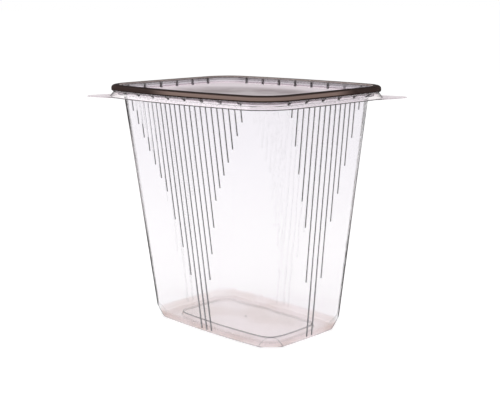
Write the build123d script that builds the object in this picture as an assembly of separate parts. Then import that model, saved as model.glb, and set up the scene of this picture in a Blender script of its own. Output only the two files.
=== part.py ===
from build123d import *
from math import asin, degrees, sqrt
import os

os.makedirs("parts", exist_ok=True)

# A clear deli container of thermoformed sheet with its lid pressed on, in millimetres.
# The origin is the centre of the base, +Z is up, and the long sides face +Y and -Y.

# Sheet and overall height
wall = 0.45
lid_wall = 0.4
height = 125.0

# Rim line: the crest of the lid's bead, seen from above
rim_length = 118.6
rim_width = 92.0
rim_long_bulge = 4.2
rim_short_bulge = 1.0
rim_corner = 14.8

# Neck: the outside of the wall just under the ledge, at a depth below the top
neck_depth = 6.2
neck_length = 114.0
neck_width = 87.2
neck_long_bulge = 5.2
neck_short_bulge = 1.9
neck_corner = 15.0

# Base
base_length = 89.3
base_width = 56.4
base_long_bulge = 1.9
base_short_bulge = 0.9
base_corner = 6.1
base_round = 1.1

# Raised middle of the base, with a moulding pip at its centre
panel_inset = 8.7
panel_rise = 1.7
panel_draft = 1.0
panel_corner = 8.5
pip_radius = 0.7
pip_rise = 0.4

# Bevelled bottom corners
bevel_height = 4.6
bevel_chord = 11.4

# Fine upright ribs: a V on each side, whose middle ribs run down to the base.
# A V is counted in ribs from its middle, and a step is how much deeper the next rib in runs.
rib_width = 0.9
rib_crest = 0.4
rib_rise = 0.35
rib_root = 0.2
rib_foot = 1.6
rib_top_gap = 0.6
long_rib_count = 23
long_pitch = 3.6
long_full = 1.0
long_edge = 12.0
long_step = 6.6
long_inner = 5.0
long_inner_step = 7.6
short_rib_count = 14
short_pitch = 3.7
short_full = 0.5
short_edge = 6.85
short_step = 13.6
short_inner = 2.5
short_inner_step = 15.0

# Container rim, measured outwards from the rim line: ledge, upstand and turned-down lip
ledge_rise = 1.0
upstand_inset = 1.0
lip_reach = 0.6
lip_depth = 3.6
rim_round = 0.45

# Short upright webs in the channel between the upstand and the lip
web_width = 0.6
long_web_pitch = 11.9
short_web_pitch = 11.4
long_web_count = 8
short_web_count = 6

# Lid, measured outwards and down from the rim line: plug, bead, snap groove, skirt and flange
fit_gap = 0.3
lid_recess = 4.0
panel_lap = 3.0
plug_draft = 0.25
plug_round = 0.5
bead_reach = 2.45
bead_depth = 2.6
bead_round = 1.7
groove_depth = 3.5
skirt_reach = 3.35
flange_reach = 4.0
flange_depth = 6.3
skirt_round = 0.3

# Pull tabs at two opposite corners of the lid's flange
tab_root = 28.8
tab_length = 24.0
tab_set_back = 8.0
tab_tip = 5.0

neck_height = height - neck_depth
seat = height - lid_wall
ledge_top = neck_height + ledge_rise


def bow_radius(chord, bulge):
    """The radius of a side that bows outwards by its bulge between its two ends."""
    return (chord**2 / 4 + bulge**2) / (2 * bulge)


def outline(length, width, long_bulge, short_bulge, corner, grow, z):
    """A rounded rectangle with bowed sides, grown evenly outwards, as a face at height z."""
    long_radius = bow_radius(length - 2 * short_bulge, long_bulge) + grow
    short_radius = bow_radius(width - 2 * long_bulge, short_bulge) + grow
    x_reach = length / 2 + grow
    y_reach = width / 2 + grow

    # The two side arcs cross where the sharp corner would be
    between = Vector(x_reach - short_radius, long_radius - y_reach, 0)
    span = between.length
    forward = (long_radius**2 - short_radius**2 + span**2) / (2 * span)
    aside = sqrt(long_radius**2 - forward**2)
    ahead = between.normalized()
    x = ahead.X * forward + ahead.Y * aside
    y = y_reach - long_radius + ahead.Y * forward - ahead.X * aside

    sides = [
        ThreePointArc((x, -y), (x_reach, 0), (x, y)),
        ThreePointArc((x, y), (0, y_reach), (-x, y)),
        ThreePointArc((-x, y), (-x_reach, 0), (-x, -y)),
        ThreePointArc((-x, -y), (0, -y_reach), (x, -y)),
    ]
    face = make_face(sides)
    return Pos(0, 0, z) * fillet(face.vertices(), corner + grow)


def rim_face(grow, z):
    return outline(rim_length, rim_width, rim_long_bulge, rim_short_bulge, rim_corner, grow, z)


def neck_face(grow, z):
    return outline(neck_length, neck_width, neck_long_bulge, neck_short_bulge, neck_corner, grow, z)


def base_face(grow, z):
    return outline(base_length, base_width, base_long_bulge, base_short_bulge, base_corner, grow, z)


def panel_face(grow, z):
    length = base_length - 2 * panel_inset
    width = base_width - 2 * panel_inset
    return outline(length, width, base_long_bulge, base_short_bulge, panel_corner, grow, z)


def bow_back(chord, bulge, along):
    """How far a bowed side has fallen back, at a distance along it from its middle."""
    radius = bow_radius(chord, bulge)
    return radius - sqrt(radius**2 - along**2)


def bevel_plane(x_side, y_side, inset):
    """The plane that cuts one bottom corner, facing outwards and down."""
    outwards = Vector(x_side, y_side, 0).normalized()
    x = x_side * (base_length / 2 - base_short_bulge)
    y = y_side * (base_width / 2 - base_long_bulge)
    foot = Vector(x, y, 0) - outwards * bevel_chord / 2
    run = bevel_chord / 2 - base_corner * (sqrt(2) - 1)
    facing = (outwards * bevel_height - Vector(0, 0, run)).normalized()
    return Plane(origin=foot - facing * inset, z_dir=facing)


def body_form(inset):
    """The tapered body with its base, drawn in by a sheet thickness where it is the inside."""
    form = loft([base_face(-inset, inset), neck_face(-inset, neck_height + inset)], ruled=True)
    bottom = form.faces().sort_by(Axis.Z)[0]
    form = fillet(bottom.edges(), base_round - inset)
    for x_side in (-1, 1):
        for y_side in (-1, 1):
            form = split(form, bisect_by=bevel_plane(x_side, y_side, inset), keep=Keep.BOTTOM)
    low = panel_face(inset, inset)
    high = panel_face(inset - panel_draft, inset + panel_rise)
    return form - loft([low, high], ruled=True)


def rib(along, foot_reach, top_reach, foot, top):
    """One upright rib on a side that faces +X, following the slope of the wall."""
    profile = Polygon(
        (foot_reach - rib_root, -rib_width / 2),
        (foot_reach, -rib_width / 2),
        (foot_reach + rib_rise, -rib_crest / 2),
        (foot_reach + rib_rise, rib_crest / 2),
        (foot_reach, rib_width / 2),
        (foot_reach - rib_root, rib_width / 2),
        align=None,
    )
    lean = Vector(top_reach - foot_reach, 0, top - foot)
    return extrude(Pos(0, along, foot) * profile, amount=lean.length, dir=lean)


def side_ribs(base_reach, base_chord, base_bulge, neck_reach, neck_chord, neck_bulge, v_shape):
    """The V of ribs on a side that faces +X."""
    count, pitch, full, edge, step, inner, inner_step = v_shape
    top = neck_height - rib_top_gap
    ribs = []
    for number in range(count):
        place = number - (count - 1) / 2
        out = abs(place)
        depth = step * (edge - out) + inner_step * max(0, inner - out)
        foot = rib_foot if out <= full else neck_height - depth
        along = place * pitch
        low = base_reach - bow_back(base_chord, base_bulge, along)
        high = neck_reach - bow_back(neck_chord, neck_bulge, along)
        slope = (high - low) / neck_height
        ribs.append(rib(along, low + slope * foot, low + slope * top, foot, top))
    return ribs


def all_ribs():
    long_side = side_ribs(
        base_width / 2,
        base_length - 2 * base_short_bulge,
        base_long_bulge,
        neck_width / 2,
        neck_length - 2 * neck_short_bulge,
        neck_long_bulge,
        (long_rib_count, long_pitch, long_full, long_edge, long_step, long_inner, long_inner_step),
    )
    short_side = side_ribs(
        base_length / 2,
        base_width - 2 * base_long_bulge,
        base_short_bulge,
        neck_length / 2,
        neck_width - 2 * neck_long_bulge,
        neck_short_bulge,
        (short_rib_count, short_pitch, short_full, short_edge, short_step, short_inner, short_inner_step),
    )
    ribs = []
    for turn in (0, 180):
        ribs += [Rot(Z=turn) * one for one in short_side]
        ribs += [Rot(Z=turn + 90) * one for one in long_side]
    return ribs


def side_webs(reach, chord, bulge, pitch, count):
    """The webs in the rim channel of a side that faces +X."""
    inner = -upstand_inset - wall / 2
    outer = lip_reach - wall / 2
    top = seat - wall / 2
    profile = Polygon((inner, ledge_top), (outer, seat - lip_depth), (outer, top), (inner, top), align=None)
    web = extrude(Plane.XZ * profile, web_width / 2, both=True)
    webs = []
    for number in range(count):
        along = (number - (count - 1) / 2) * pitch
        turn = degrees(asin(along / bow_radius(chord, bulge)))
        webs.append(Pos(reach - bow_back(chord, bulge, along), along, 0) * Rot(Z=turn) * web)
    return webs


def all_webs():
    long_chord = rim_length - 2 * rim_short_bulge
    short_chord = rim_width - 2 * rim_long_bulge
    long_side = side_webs(rim_width / 2, long_chord, rim_long_bulge, long_web_pitch, long_web_count)
    short_side = side_webs(rim_length / 2, short_chord, rim_short_bulge, short_web_pitch, short_web_count)
    webs = []
    for turn in (0, 180):
        webs += [Rot(Z=turn) * one for one in short_side]
        webs += [Rot(Z=turn + 90) * one for one in long_side]
    return webs


def container():
    """One formed sheet: base, ribbed tapered walls, ledge, upstand and turned-down lip."""
    form = body_form(0)
    form += loft([neck_face(0, neck_height), rim_face(-upstand_inset, ledge_top)], ruled=True)
    form += extrude(rim_face(-upstand_inset, ledge_top), amount=seat - ledge_top)

    lip = extrude(rim_face(lip_reach, seat - lip_depth), amount=lip_depth)
    lip = fillet(lip.edges().group_by(Axis.Z)[-1], rim_round)
    under_lip = extrude(rim_face(lip_reach - wall, seat - lip_depth), amount=lip_depth - wall)
    under_lip -= extrude(rim_face(-upstand_inset, seat - lip_depth), amount=lip_depth)
    form += lip - under_lip

    inner = rim_face(-upstand_inset - wall, ledge_top + wall)
    void = body_form(wall)
    void += loft([neck_face(-wall, neck_height + wall), inner], ruled=True)
    void += extrude(inner, amount=seat - ledge_top)
    pip = Pos(0, 0, panel_rise + wall) * Cone(pip_radius, pip_radius / 2, 2 * pip_rise)
    return form - void + pip + all_ribs() + all_webs()


def lid_sheet():
    """The middle of the lid's sheet, from panel to flange, as (reach, height) points."""
    half = lid_wall / 2
    plug_top = upstand_inset + wall + fit_gap + half
    plug_foot = plug_top + plug_draft
    groove = (lip_reach + fit_gap + half, height - groove_depth)
    bead_foot = (bead_reach - half, height - bead_depth)
    skirt_foot = (skirt_reach - half, height - flange_depth + half)
    points = [
        (-plug_foot - panel_lap, height - lid_recess - half),
        (-plug_foot, height - lid_recess - half),
        (-plug_top, height - half),
        (bead_reach - half, height - half),
        bead_foot,
        groove,
        skirt_foot,
        (flange_reach - half, height - flange_depth + half),
    ]
    rounds = [plug_round, plug_round, bead_round - half, skirt_round, skirt_round, skirt_round]
    return points, rounds


def rim_plane(path):
    """A plane across the rim line at its start, with X outwards and Y up."""
    heading = path % 0
    outwards = heading.cross(Vector(0, 0, 1))
    start = path @ 0
    return Plane(origin=(start.X, start.Y, 0), x_dir=outwards, z_dir=-heading)


def tab():
    """The pull tab at the +X +Y corner of the flange."""
    level = height - flange_depth
    flange = rim_face(flange_reach, level)
    corner = flange.edges().sort_by(lambda edge: (edge @ 0.5).X + (edge @ 0.5).Y)[-1]
    outwards = (corner % 0.5).cross(Vector(0, 0, 1))
    shape = Polygon(
        (-tab_set_back, -tab_root / 2),
        (tab_length - tab_set_back, 0),
        (-tab_set_back, tab_root / 2),
        align=None,
    )
    shape = fillet(shape.vertices().sort_by(Axis.X)[-1], tab_tip)
    plate = extrude(Plane(origin=corner @ 0.5, x_dir=outwards, z_dir=(0, 0, 1)) * shape, lid_wall)
    return plate - extrude(rim_face(skirt_reach - lid_wall / 2, level), lid_wall)


def lid():
    """One formed sheet that drops over the rim: panel, plug, bead, groove, skirt and flange."""
    points, rounds = lid_sheet()
    profile = make_face(offset(FilletPolyline(*points, radius=rounds), amount=lid_wall / 2))
    path = rim_face(0, 0).wire()
    ring = sweep(rim_plane(path) * profile, path=path)
    panel_level = height - lid_recess - lid_wall
    panel = extrude(rim_face(points[0][0] + panel_lap / 2, panel_level), lid_wall)
    corner_tab = tab()
    return ring + panel + corner_tab + Rot(Z=180) * corner_tab


export_step(container(), "parts/container.step")
export_step(lid(), "parts/lid.step")
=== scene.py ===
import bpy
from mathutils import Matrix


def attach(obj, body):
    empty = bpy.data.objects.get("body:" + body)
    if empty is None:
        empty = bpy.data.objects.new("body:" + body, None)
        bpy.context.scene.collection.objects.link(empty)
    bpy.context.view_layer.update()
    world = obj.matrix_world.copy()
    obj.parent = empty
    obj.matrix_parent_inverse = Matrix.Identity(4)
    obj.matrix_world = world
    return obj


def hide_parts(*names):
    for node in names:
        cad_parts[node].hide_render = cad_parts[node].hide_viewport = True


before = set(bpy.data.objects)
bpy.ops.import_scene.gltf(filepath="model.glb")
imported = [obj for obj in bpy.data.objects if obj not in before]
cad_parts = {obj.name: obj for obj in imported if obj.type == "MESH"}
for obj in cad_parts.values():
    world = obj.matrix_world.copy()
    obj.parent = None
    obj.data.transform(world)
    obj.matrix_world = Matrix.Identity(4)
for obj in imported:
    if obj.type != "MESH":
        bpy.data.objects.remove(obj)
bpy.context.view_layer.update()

from math import cos, radians, sin, sqrt

import bmesh
import bpy
from mathutils import Matrix, Vector


# Container
# One sheet of clear, faintly lavender plastic, drawn down into a tapered pot with fine upright
# ribs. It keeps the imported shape, with its loose triangles joined and its rounds shaded smooth.

weld_distance = 2e-6
sharp_angle = radians(28)


def joined_copy(name, node):
    """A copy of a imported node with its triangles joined, smooth except at its sharp edges."""
    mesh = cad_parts[node].data.copy()
    mesh.materials.clear()
    shape = bmesh.new()
    shape.from_mesh(mesh)
    bmesh.ops.remove_doubles(shape, verts=shape.verts, dist=weld_distance)
    for face in shape.faces:
        face.smooth = True
    for edge in shape.edges:
        edge.smooth = len(edge.link_faces) == 2 and edge.calc_face_angle(0) < sharp_angle
    shape.to_mesh(mesh)
    shape.free()
    piece = bpy.data.objects.new(name, mesh)
    bpy.context.scene.collection.objects.link(piece)
    flat_faces = piece.modifiers.new("flat_faces", "WEIGHTED_NORMAL")
    flat_faces.keep_sharp = True
    return piece


class Reading:
    """A number inside a material, worked with as a plain number."""

    def __init__(self, tree, socket):
        self.tree = tree
        self.socket = socket

    def through(self, kind, feeds, output=0, **settings):
        """The output of any other node, fed by readings or plain values."""
        node = self.tree.nodes.new(kind)
        for name, value in settings.items():
            setattr(node, name, value)
        for name, value in feeds.items():
            if isinstance(value, Reading):
                self.tree.links.new(value.socket, node.inputs[name])
            else:
                node.inputs[name].default_value = value
        return Reading(self.tree, node.outputs[output])

    def sum(self, operation, *others):
        """This and the others through a Math node."""
        feeds = dict(enumerate((self, *others)))
        return self.through("ShaderNodeMath", feeds, operation=operation)

    def largest(self, *others):
        """The largest of this and the others."""
        winner = self
        for other in others:
            winner = winner.sum("MAXIMUM", other)
        return winner

    def ramp(self, start, end):
        """From 0 at start to 1 at end, softly."""
        feeds = {"Value": self, "From Min": start, "From Max": end}
        return self.through("ShaderNodeMapRange", feeds, interpolation_type="SMOOTHSTEP")

    def between(self, low, high):
        """The low value where this is 0 and the high one where it is 1."""
        return self * (high - low) + low

    def node_output(self, name):
        """Another output of the node that this number comes from."""
        return Reading(self.tree, self.socket.node.outputs[name])

    def mixed(self, colour_a, colour_b):
        """Colour a where this is 0 and colour b where it is 1."""
        feeds = {0: self, 6: colour_a, 7: colour_b}
        return self.through("ShaderNodeMix", feeds, output=2, data_type="RGBA")

    def __add__(self, other):
        return self.sum("ADD", other)

    def __sub__(self, other):
        return self.sum("SUBTRACT", other)

    def __rsub__(self, other):
        return self.sum("MULTIPLY", -1.0) + other

    def __mul__(self, other):
        return self.sum("MULTIPLY", other)

    def __truediv__(self, other):
        return self.sum("DIVIDE", other)

    def __lt__(self, other):
        return self.sum("LESS_THAN", other)

    def __gt__(self, other):
        return self.sum("GREATER_THAN", other)

    def __abs__(self):
        return self.sum("ABSOLUTE")


millimetres = 1000.0


def new_material(name):
    """An empty material with its node tree, and its place readings in millimetres."""
    material = bpy.data.materials.new(name)
    material.use_nodes = True
    tree = material.node_tree
    tree.nodes.clear()
    place = tree.nodes.new("ShaderNodeTexCoord")
    axes = tree.nodes.new("ShaderNodeSeparateXYZ")
    tree.links.new(place.outputs["Object"], axes.inputs[0])
    readings = [Reading(tree, axes.outputs[axis]) * millimetres for axis in range(3)]
    whole = readings[0].through("ShaderNodeCombineXYZ", dict(enumerate(readings)))
    return material, tree, [*readings, whole]


sheet_ior = 1.5
painted_shade_roughness = 0.4
shadow_tint = (0.93, 0.91, 0.93, 1)


def painted_shade_shader(tree, colour):
    """Matte dark paint for painted shade, standing for the clear sheet where it looks dark."""
    plastic = tree.nodes.new("ShaderNodeBsdfPrincipled")
    tree.links.new(colour.socket, plastic.inputs["Base Color"])
    plastic.inputs["Roughness"].default_value = painted_shade_roughness
    plastic.inputs["Specular IOR Level"].default_value = 0.0
    return plastic


def clear_sheet(tree, colour, roughness, dark, painted_shade_amount):
    """Clear glossy plastic that lets lamp light through, and that blends into the matte dark paint of
    painted shade by the painted shade amount.
    """
    plastic = tree.nodes.new("ShaderNodeBsdfPrincipled")
    plastic.inputs["Transmission Weight"].default_value = 1.0
    plastic.inputs["IOR"].default_value = sheet_ior
    tree.links.new(roughness.socket, plastic.inputs["Roughness"])
    tree.links.new(colour.socket, plastic.inputs["Base Color"])
    blend = tree.nodes.new("ShaderNodeMixShader")
    tree.links.new(painted_shade_amount.socket, blend.inputs[0])
    tree.links.new(plastic.outputs[0], blend.inputs[1])
    tree.links.new(dark.outputs[0], blend.inputs[2])
    lamp_light = tree.nodes.new("ShaderNodeBsdfTransparent")
    lamp_light.inputs["Color"].default_value = shadow_tint
    ray = tree.nodes.new("ShaderNodeLightPath")
    mix = tree.nodes.new("ShaderNodeMixShader")
    tree.links.new(ray.outputs["Is Shadow Ray"], mix.inputs[0])
    tree.links.new(blend.outputs[0], mix.inputs[1])
    tree.links.new(lamp_light.outputs[0], mix.inputs[2])
    output = tree.nodes.new("ShaderNodeOutputMaterial")
    tree.links.new(mix.outputs[0], output.inputs["Surface"])


cloud_contrast = (0.35, 0.65)


def cloudiness(place, size):
    """A soft uneven cloudiness from 0 to 1, with patches of a size in millimetres."""
    feeds = {"Vector": place, "Scale": 1.0 / size, "Detail": 1.0, "Roughness": 0.4}
    return place.through("ShaderNodeTexNoise", feeds, output="Fac").ramp(*cloud_contrast)


neck_height = 118.8
rib_half_width = 0.28
rib_edge_margin = 0.2
long_v = {
    "pitch": 3.6, "shift": 0.0, "edge": 12.0, "step": 6.6,
    "inner": 5.0, "inner_step": 7.6, "full": 1.1,
}
short_v = {
    "pitch": 3.7, "shift": 0.5, "edge": 6.85, "step": 13.6,
    "inner": 2.5, "inner_step": 15.0, "full": 0.6,
}


def rib_lines(along, height, v_shape):
    """How near a place is to the crest of one of a side's ribs, 1 on it and 0 off the rib."""
    count = along / v_shape["pitch"] - v_shape["shift"]
    nearest = count.sum("ROUND")
    off = abs(count - nearest) * v_shape["pitch"]
    out = abs(nearest + v_shape["shift"])
    inner = (v_shape["inner"] - out).largest(0.0)
    foot = neck_height - (v_shape["edge"] - out) * v_shape["step"] - inner * v_shape["inner_step"]
    foot = foot * (out > v_shape["full"])
    crest = 1.0 - (off / rib_half_width).sum("MINIMUM", 1.0)
    return crest * (height > foot) * (out < v_shape["edge"] - rib_edge_margin)


long_web_pitch = 11.9
short_web_pitch = 11.4
web_line = (0.32, 0.62)


def web_lines(along, pitch):
    """1 on the short webs of one side's rim channel."""
    count = along / pitch
    nearest = (count - 0.5).sum("ROUND") + 0.5
    off = abs(count - nearest) * pitch
    return 1.0 - off.ramp(*web_line)


container_sheet, tree, (x, y, z, place) = new_material("container_sheet")
from_within = Reading(tree, tree.nodes.new("ShaderNodeNewGeometry").outputs["Backfacing"])
normal = from_within.node_output("Normal")
across_x, across_y, upright = (
    normal.through("ShaderNodeSeparateXYZ", {0: normal}, output=axis) for axis in range(3)
)
facing = from_within.through("ShaderNodeLayerWeight", {"Blend": 0.5}, output="Facing")

# This reading is 1 on the walls nearer the viewer, because the normal turns to the viewer
near_wall = (across_x * x + across_y * y) > 0.0

# The ribs get painted shade: dark at the foot, pale in the middle and a little darker near the neck
wall_foot = 1.5
neck_margin = 0.5
long_wall_end = 42.4
long_wall_start = 24.0
short_wall_end = 26.0
foot_band = (20.0, 50.0)
top_band = (70.0, 112.0)
rib_core = (0.1, 0.7)
foot_darkness = 0.85
top_darkness = 0.14
least_darkness = 0.1
on_wall = (z > wall_foot) * (z < neck_height - neck_margin)
long_ribs = rib_lines(x, z, long_v) * (abs(x) < long_wall_end) * (abs(y) > long_wall_start)
short_ribs = rib_lines(y, z, short_v) * (abs(y) < short_wall_end) * (abs(x) > long_wall_end)
crest = (long_ribs + short_ribs) * on_wall
rib_painted_shade = (1.0 - z.ramp(*foot_band)) * foot_darkness + z.ramp(*top_band) * top_darkness
rib_painted_shade = (rib_painted_shade + least_darkness) * crest.ramp(*rib_core)

# The ribs' painted shade is strong on the near walls and faint on the far ones. Higher up it fades
# seen straight on
rib_gain = 12.0
foot_strength = 0.95
upper_strength = 0.72
far_strength = 0.13
straight_on = (0.2, 0.4)
straight_strength = 0.25
slant_band = (30.0, 70.0)
slant = facing.ramp(*straight_on).between(straight_strength, 1.0)
slant = slant.largest(1.0 - z.ramp(*slant_band))
ribs = (crest * rib_gain).sum("MINIMUM", 1.0)
ribs = ribs * z.ramp(*foot_band).between(foot_strength, upper_strength)
ribs = ribs * (1.0 - from_within) * near_wall.between(far_strength, 1.0) * slant

# Webs in the rim channel get painted shade as dark lines, faint on the faces that look inwards
web_start = 119.5
long_web_end = 43.0
long_channel_start = 36.0
short_web_end = 30.0
short_channel_start = 50.0
inward_limit = -2.0
inward_strength = 0.2
long_webs = web_lines(x, long_web_pitch) * (abs(x) < long_web_end) * (abs(y) > long_channel_start)
long_webs = long_webs * (across_y * y > inward_limit).between(inward_strength, 1.0)
short_webs = web_lines(y, short_web_pitch) * (abs(y) < short_web_end) * (abs(x) > short_channel_start)
short_webs = short_webs * (across_x * x > inward_limit).between(inward_strength, 1.0)
webs = (long_webs + short_webs) * (z > web_start)

# Rounded corners of the walls get painted shade where they are seen edge-on
upright_band = (0.15, 0.45)
waist_start = (38.0, 62.0)
waist_end = (92.0, 108.0)
taper_x = 0.11
taper_y = 0.135
corner_x = (31.0, 34.5)
corner_y = (15.0, 18.5)
edge_on = (0.54, 0.76)
waist_strength = 0.75
rim_band = (119.0, 120.0)
rim_strength = 0.3
standing = 1.0 - abs(upright).ramp(*upright_band)
waist = z.ramp(*waist_start) * (1.0 - z.ramp(*waist_end))
corner = (abs(x) - z * taper_x).ramp(*corner_x) * (abs(y) - z * taper_y).ramp(*corner_y)
outline = facing.ramp(*edge_on) * standing * corner * waist.between(1.0, waist_strength)
outline = outline * z.ramp(*rim_band).between(1.0, rim_strength)

# A faint line of painted shade on the near lip, and one on the fold round the raised middle of the
# base
lip_bottom = (120.6, 121.0)
lip_top = (122.2, 122.8)
lip_strength = 0.35
fold_bottom = (1.4, 1.8)
fold_top = 2.12
level_band = (0.85, 0.95)
fold_half_length = 37.5
fold_half_width = 23.6
fold_strength = 0.4
lip = z.ramp(*lip_bottom) * (1.0 - z.ramp(*lip_top)) * near_wall * (1.0 - from_within) * lip_strength
in_foot_ring = (abs(x) < fold_half_length) * (abs(y) < fold_half_width)
fold = z.ramp(*fold_bottom) * (z < fold_top) * (1.0 - abs(upright).ramp(*level_band))
fold = fold * in_foot_ring * fold_strength

# The lines and ribs above are painted shade, mixed into the clear sheet as matte dark paint
line_gain = 3.0
edge_black = (0.03, 0.022, 0.024, 1)
edge_grey = (0.22, 0.19, 0.2, 1)
rib_pale = (0.95, 0.93, 0.97, 1)
rib_black = (0.02, 0.012, 0.016, 1)
line = outline.largest(lip, webs * standing, fold)
painted_shade_amount = line.largest(ribs)
line_shade_colour = waist.mixed(edge_black, edge_grey)
rib_shade_colour = rib_painted_shade.mixed(rib_pale, rib_black)
dark = painted_shade_shader(tree, (line * line_gain).sum("MINIMUM", 1.0).mixed(rib_shade_colour, line_shade_colour))

# The clear sheet is lavender in its walls and a cloudy pink in its base
cloud_size = 26.0
base_band = (2.4, 5.0)
tint_band = (30.0, 110.0)
lower_wall_tint = (0.975, 0.965, 0.975, 1)
upper_wall_tint = (0.945, 0.93, 0.955, 1)
base_pink = (0.83, 0.75, 0.73, 1)
base_pale_pink = (0.91, 0.85, 0.85, 1)
least_roughness = 0.03
most_roughness = 0.06
cloud = cloudiness(place, cloud_size)
low = 1.0 - z.ramp(*base_band)
wall_tint = z.ramp(*tint_band).mixed(lower_wall_tint, upper_wall_tint)
base_tint = cloud.mixed(base_pink, base_pale_pink)
colour = low.mixed(wall_tint, base_tint)
shine = cloud.between(least_roughness, most_roughness)
clear_sheet(tree, colour, shine, dark, painted_shade_amount)

container = joined_copy("container_sheet", "container")
container.data.materials.append(container_sheet)
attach(container, "container")
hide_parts("container")


# Lid
# A second sheet of the same plastic, pressed over the rim. Its bead is seen edge-on through several
# curved layers and looks a dark, dusky brown, which is painted on as shade, and its recessed panel
# gets painted grey shade in the middle.

rim_length = 118.6
rim_width = 92.0
long_bulge = 4.2
short_bulge = 1.0
rim_corner = 14.8


def bow(chord, bulge):
    """The radius of an arc, from its chord and how far it bulges."""
    return (chord**2 / 4 + bulge**2) / (2 * bulge)


def reach_from_rim(x, y):
    """How far a point lies outside the rim line, in millimetres."""
    x, y = abs(x), abs(y)
    long_bow = bow(rim_length - 2 * short_bulge, long_bulge)
    short_bow = bow(rim_width - 2 * long_bulge, short_bulge)
    low = Vector((0, rim_width / 2 - long_bow))
    left = Vector((rim_length / 2 - short_bow, 0))
    across = left - low
    span = across.length
    long_arm = long_bow - rim_corner
    short_arm = short_bow - rim_corner
    ahead = (long_arm * long_arm - short_arm * short_arm + span * span) / (2 * span)
    aside = sqrt(long_arm * long_arm - ahead * ahead)
    ahead_way = across / span
    middle = low + ahead_way * ahead + Vector((ahead_way.y, -ahead_way.x)) * aside
    point = Vector((x, y))
    long_end = (middle - low).normalized()
    short_end = (middle - left).normalized()
    beyond_long = long_end.x * (point - low).y - long_end.y * (point - low).x
    beyond_short = short_end.x * (point - left).y - short_end.y * (point - left).x
    if beyond_long >= 0:
        return (point - low).length - long_bow
    if beyond_short <= 0:
        return (point - left).length - short_bow
    return (point - middle).length - rim_corner


lid = joined_copy("lid_sheet", "lid")
reach = lid.data.attributes.new("reach", "FLOAT", "POINT")
for vertex, value in zip(lid.data.vertices, reach.data):
    value.value = reach_from_rim(vertex.co.x * millimetres, vertex.co.y * millimetres)

lid_sheet, tree, (x, y, z, place) = new_material("lid_sheet")
out = z.through("ShaderNodeAttribute", {}, output="Fac", attribute_name="reach")
facing = z.through("ShaderNodeLayerWeight", {"Blend": 0.5}, output="Facing")
normal = Reading(tree, tree.nodes.new("ShaderNodeNewGeometry").outputs["Normal"])
across_x, across_y = (
    normal.through("ShaderNodeSeparateXYZ", {0: normal}, output=axis) for axis in range(2)
)

# This reading is 1 on the side of the rim nearer the viewer, as the normal turns to the viewer
near_side_limit = -8.0
near_side = (across_x * x + across_y * y) > near_side_limit
far_side = 1.0 - near_side

# The bead gets painted shade for how the clear sheet looks edge-on through several layers: brown, and
# black at its edges, at the tab corners and along the far top
outer_low = (122.2, 122.5)
outer_reach = (0.2, 0.8)
crest_low = (124.6, 124.85)
crest_reach = (-2.3, -1.7)
bottom_edge = (122.7, 123.1)
top_edge = (124.2, 124.7)
inner_reach = (-1.9, -1.4)
far_top_band = (123.2, 124.1)
diagonal_scale = 2700.0
tab_band = (-0.05, 0.35)
tab_darkness = 0.9
near_bead_strength = 0.63
far_bead_strength = 0.6
least_bead_strength = 0.32
bead_shade_brown = (0.27, 0.19, 0.165, 1)
bead_shade_pale = (0.42, 0.33, 0.31, 1)
bead_shade_black = (0.025, 0.014, 0.013, 1)
outer_curve = z.ramp(*outer_low) * out.ramp(*outer_reach)
crest = z.ramp(*crest_low) * out.ramp(*crest_reach)
bead = outer_curve.largest(crest)
edge = (1.0 - z.ramp(*bottom_edge)).largest(z.ramp(*top_edge))
tab_corner = (x * y / diagonal_scale).ramp(*tab_band) * tab_darkness
far_top = far_side * z.ramp(*far_top_band)
inner = 1.0 - out.ramp(*inner_reach)
bead_strength = near_side * near_bead_strength + far_top * far_bead_strength + least_bead_strength
brown = inner.largest(far_side).mixed(bead_shade_brown, bead_shade_pale)
blackness = (1.0 - inner) * edge.largest(tab_corner, far_top)
bead_shade_colour = blackness.mixed(brown, bead_shade_black)

# Painted shade: the plug's fold is darker all round, and skirt, flange and panel are darker where
# they are seen edge-on
fold_low = (124.0, 124.6)
fold_reach = (-1.8, -1.4)
plug_fold_strength = 0.5
panel_start = 120.4
panel_end = (121.2, 121.8)
panel_reach = (-2.4, -2.0)
panel_edge_on = (0.55, 0.8)
panel_strength = 0.85
skirt_start = 119.0
skirt_end = (122.1, 122.4)
skirt_edge_on = (0.6, 0.9)
skirt_strength = 0.8
flange_top = 119.15
flange_edge_on = (0.6, 0.85)
flange_strength = 0.7
plug_fold = z.ramp(*fold_low) * (1.0 - out.ramp(*fold_reach)) * plug_fold_strength
panel = (z > panel_start) * (1.0 - z.ramp(*panel_end)) * (1.0 - out.ramp(*panel_reach))
grazed = panel * facing.ramp(*panel_edge_on) * panel_strength
skirt = (z > skirt_start) * (1.0 - z.ramp(*skirt_end)) * facing.ramp(*skirt_edge_on)
flange = (z < flange_top) * facing.ramp(*flange_edge_on)
painted_shade_amount = (bead * bead_strength).largest(plug_fold, grazed, skirt * skirt_strength)
painted_shade_amount = painted_shade_amount.largest(flange * flange_strength)

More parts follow.
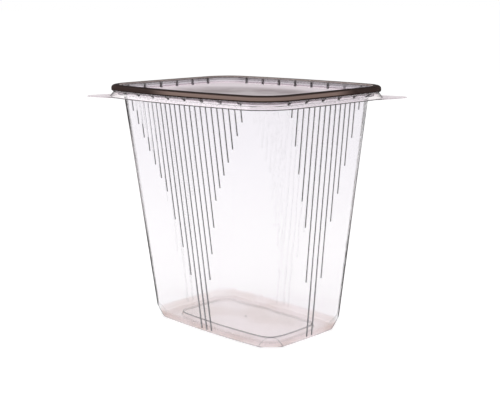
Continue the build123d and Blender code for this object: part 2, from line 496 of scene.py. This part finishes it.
# The panel's painted shade, a painted dark reflection where it is seen edge-on, is an uneven grey in
# its middle and pink round it
cloud_size = 16.0
panel_length_scale = 3600.0
panel_width_scale = 1600.0
middle_band = (0.1, 0.9)
thinnest_cloud = 0.7
panel_shade_pink = (0.86, 0.78, 0.82, 1)
panel_shade_grey = (0.34, 0.29, 0.3, 1)
panel_tint = (0.93, 0.87, 0.89, 1)
rim_tint = (0.95, 0.93, 0.945, 1)
rim_tint_band = (121.5, 122.4)
rim_roughness = 0.04
panel_roughness = 0.09
cloud = cloudiness(place, cloud_size)
across_panel = x * x / panel_length_scale + y * y / panel_width_scale
middle = 1.0 - across_panel.ramp(*middle_band)
panel_shade_colour = (middle * cloud.between(thinnest_cloud, 1.0)).mixed(panel_shade_pink, panel_shade_grey)
dark = painted_shade_shader(tree, panel.largest(flange).mixed(bead_shade_colour, panel_shade_colour))
colour = z.ramp(*rim_tint_band).mixed(panel_tint, rim_tint)
shine = panel.between(rim_roughness, panel_roughness)
clear_sheet(tree, colour, shine, dark, painted_shade_amount)

lid.data.materials.append(lid_sheet)
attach(lid, "lid")
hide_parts("lid")


# Floor
# A plain white table top that the pot stands on. It is matte, and it keeps the faint shadow
# that the pot throws on it.

floor_half_size = 30.0
floor_drop = 0.0002
floor_grey = (0.8, 0.8, 0.8, 1)
floor_roughness = 0.9
white = (1, 1, 1, 1)
camera_glow = 0.45
sheet_glow = 0.36

floor_mesh = bpy.data.meshes.new("table_top")
shape = bmesh.new()
bmesh.ops.create_grid(shape, x_segments=1, y_segments=1, size=floor_half_size)
bmesh.ops.translate(shape, verts=shape.verts, vec=(0, 0, -floor_drop))
shape.to_mesh(floor_mesh)
shape.free()
floor = bpy.data.objects.new("table_top", floor_mesh)
bpy.context.scene.collection.objects.link(floor)

table_white, tree, _ = new_material("table_white")
surface = tree.nodes.new("ShaderNodeBsdfPrincipled")
surface.inputs["Base Color"].default_value = floor_grey
surface.inputs["Roughness"].default_value = floor_roughness
surface.inputs["Specular IOR Level"].default_value = 0.0
surface.inputs["Emission Color"].default_value = white
ray = tree.nodes.new("ShaderNodeLightPath")
seen = Reading(tree, ray.outputs["Is Camera Ray"])
through_sheet = seen.node_output("Is Glossy Ray").largest(seen.node_output("Is Transmission Ray"))
glow = seen * camera_glow + through_sheet * sheet_glow
tree.links.new(glow.socket, surface.inputs["Emission Strength"])
output = tree.nodes.new("ShaderNodeOutputMaterial")
tree.links.new(surface.outputs[0], output.inputs["Surface"])
floor.data.materials.append(table_white)


# Light and camera
# A pale room all round with two large soft lamps, and the photograph's corner-on view from half a
# metre away. The camera was fitted to the lines of the rim, the base and the ribs.

room_light = 0.7
world = bpy.data.worlds.new("pale_room")
bpy.context.scene.world = world
world.use_nodes = True
tree = world.node_tree
tree.nodes.clear()
ray = tree.nodes.new("ShaderNodeLightPath")
seen = Reading(tree, ray.outputs["Is Camera Ray"])
mirrored = seen.node_output("Is Glossy Ray")
let_through = seen.node_output("Is Transmission Ray")
seen = seen.largest(mirrored, let_through)
background = tree.nodes.new("ShaderNodeBackground")
background.inputs["Color"].default_value = white
tree.links.new(seen.between(room_light, 1.0).socket, background.inputs["Strength"])
output = tree.nodes.new("ShaderNodeOutputWorld")
tree.links.new(background.outputs[0], output.inputs["Surface"])

lamp_aim = Vector((0, 0, 0.06))
lamp_size = 0.9
for name, spot, power in (
    ("left_lamp", (-0.9, -0.5, 1.1), 4.0),
    ("right_lamp", (0.8, -0.9, 0.9), 3.0),
):
    lamp = bpy.data.lights.new(name, "AREA")
    lamp.size = lamp_size
    lamp.energy = power
    holder = bpy.data.objects.new(name, lamp)
    holder.location = spot
    holder.rotation_euler = (lamp_aim - Vector(spot)).to_track_quat("-Z", "Y").to_euler()
    bpy.context.scene.collection.objects.link(holder)

azimuth = radians(44.5)
elevation = radians(11.15)
roll = -0.008
distance = 0.5221
target = Vector((0.007237, 0.007116, 0.06407))
image_width = 500
image_height = 400
focal_length_px = 1002.8
centre_x_px = 264.48
centre_y_px = 201.79
sensor_width = 36
back = Vector((sin(azimuth) * cos(elevation), -cos(azimuth) * cos(elevation), sin(elevation)))
right = Vector((cos(azimuth), sin(azimuth), 0))
up = back.cross(right)
camera = bpy.data.cameras.new("camera")
camera.sensor_width = sensor_width
camera.lens = focal_length_px / image_width * sensor_width
camera.shift_x = (image_width / 2 - centre_x_px) / image_width
camera.shift_y = (centre_y_px - image_height / 2) / image_width
holder = bpy.data.objects.new("camera", camera)
turned_right = right * cos(roll) + up * sin(roll)
turned_up = up * cos(roll) - right * sin(roll)
holder.matrix_world = Matrix((turned_right, turned_up, back)).transposed().to_4x4()
holder.matrix_world.translation = target + back * distance
bpy.context.scene.collection.objects.link(holder)
bpy.context.scene.camera = holder

bpy.context.scene.view_settings.view_transform = "Standard"
